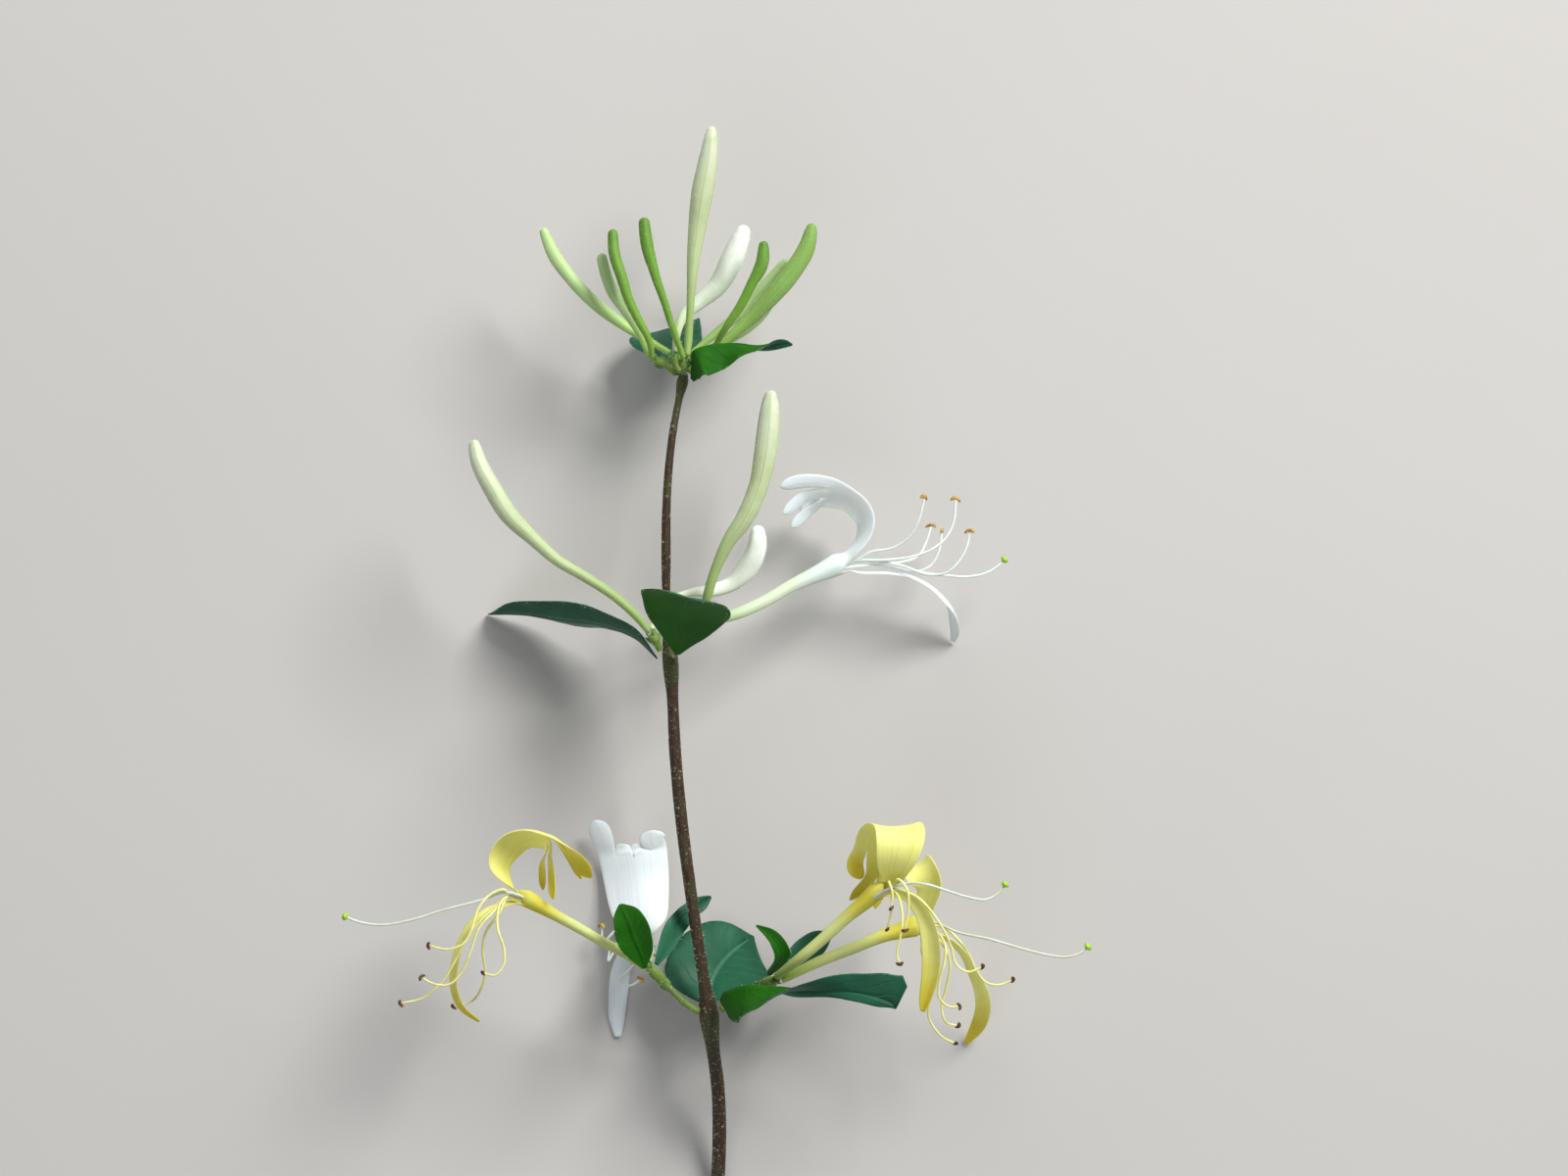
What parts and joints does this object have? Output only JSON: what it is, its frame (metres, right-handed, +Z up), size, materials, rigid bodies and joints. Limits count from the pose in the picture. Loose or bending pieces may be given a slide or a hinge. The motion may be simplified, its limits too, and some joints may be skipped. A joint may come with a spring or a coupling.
{
  "type": "honeysuckle flowering shoot",
  "caption": "Cut flowering shoot of honeysuckle lying on a surface, with whorls of slender buds, white and yellow two-lipped flowers, long stamens and paired leaves on a dark stem.",
  "frame": {"origin": "centre of the bounding box's footprint, on the surface that the shoot lies on", "axes": "+Y runs along the stem from its cut end to the top whorl of buds, +X is to the right seen from above, +Z is up"},
  "size_m": [0.1296, 0.1925, 0.0479],
  "materials": {
    "stem_bark": "thin dark red-brown bark with pale specks and short hairs",
    "stalk_green": "soft green stalk with short hairs",
    "leaf_green": "matt green leaf, bluish above and deeper green below",
    "bud_green": "soft hairy green bud",
    "bud_cream": "soft hairy cream bud",
    "petal_white": "thin matt white petal",
    "petal_yellow": "thin matt yellow petal",
    "filament_pale": "thin pale filament with a brown anther",
    "style_pale": "thin pale style with a green stigma"
  },
  "bodies": {
    "root": {"bract_left_back": "leaf_green", "bract_left_front": "leaf_green", "bract_right_back": "leaf_green", "bract_right_front": "leaf_green", "branchlet_low_left": "stalk_green", "branchlet_low_right": "stalk_green", "bud_middle_left": "bud_cream", "bud_middle_right": "bud_cream", "bud_middle_white_behind": "bud_cream", "bud_top_centre": "bud_cream", "bud_top_dark_green": "bud_green", "bud_top_far_left": "bud_cream", "bud_top_left_behind": "bud_green", "bud_top_left_green": "bud_green", "bud_top_right_green": "bud_green", "bud_top_right_large": "bud_green", "bud_top_right_low": "bud_cream", "bud_top_right_pale": "bud_cream", "bud_top_white_behind": "bud_cream", "flower_low_left_lower_lip": "petal_yellow", "flower_low_left_stamens": "filament_pale", "flower_low_left_style": "style_pale", "flower_low_left_tube": "petal_yellow", "flower_low_left_upper_lip": "petal_yellow", "flower_low_right_lower_lower_lip": "petal_yellow", "flower_low_right_lower_stamens": "filament_pale", "flower_low_right_lower_style": "style_pale", "flower_low_right_lower_tube": "petal_yellow", "flower_low_right_lower_upper_lip": "petal_yellow", "flower_low_right_upper_lower_lip": "petal_yellow", "flower_low_right_upper_stamens": "filament_pale", "flower_low_right_upper_style": "style_pale", "flower_low_right_upper_tube": "petal_yellow", "flower_low_right_upper_upper_lip": "petal_yellow", "flower_low_white_lower_lip": "petal_white", "flower_low_white_stamens": "filament_pale", "flower_low_white_style": "style_pale", "flower_low_white_tube": "petal_white", "flower_low_white_upper_lip": "petal_white", "flower_middle_lower_lip": "petal_white", "flower_middle_stamens": "filament_pale", "flower_middle_style": "style_pale", "flower_middle_tube": "petal_white", "flower_middle_upper_lip": "petal_white", "leaf_low_back": "leaf_green", "leaf_low_front": "leaf_green", "leaf_middle_front": "leaf_green", "leaf_middle_left": "leaf_green", "leaf_top_back": "leaf_green", "leaf_top_right": "leaf_green", "main_stem": "stem_bark", "stalk_middle_left": "stalk_green", "stalk_middle_right": "stalk_green", "stalk_top_back": "stalk_green", "stalk_top_front": "stalk_green", "stalk_top_left": "stalk_green", "stalk_top_right": "stalk_green", "stalk_top_right_back": "stalk_green"}
  },
  "joints": []
}
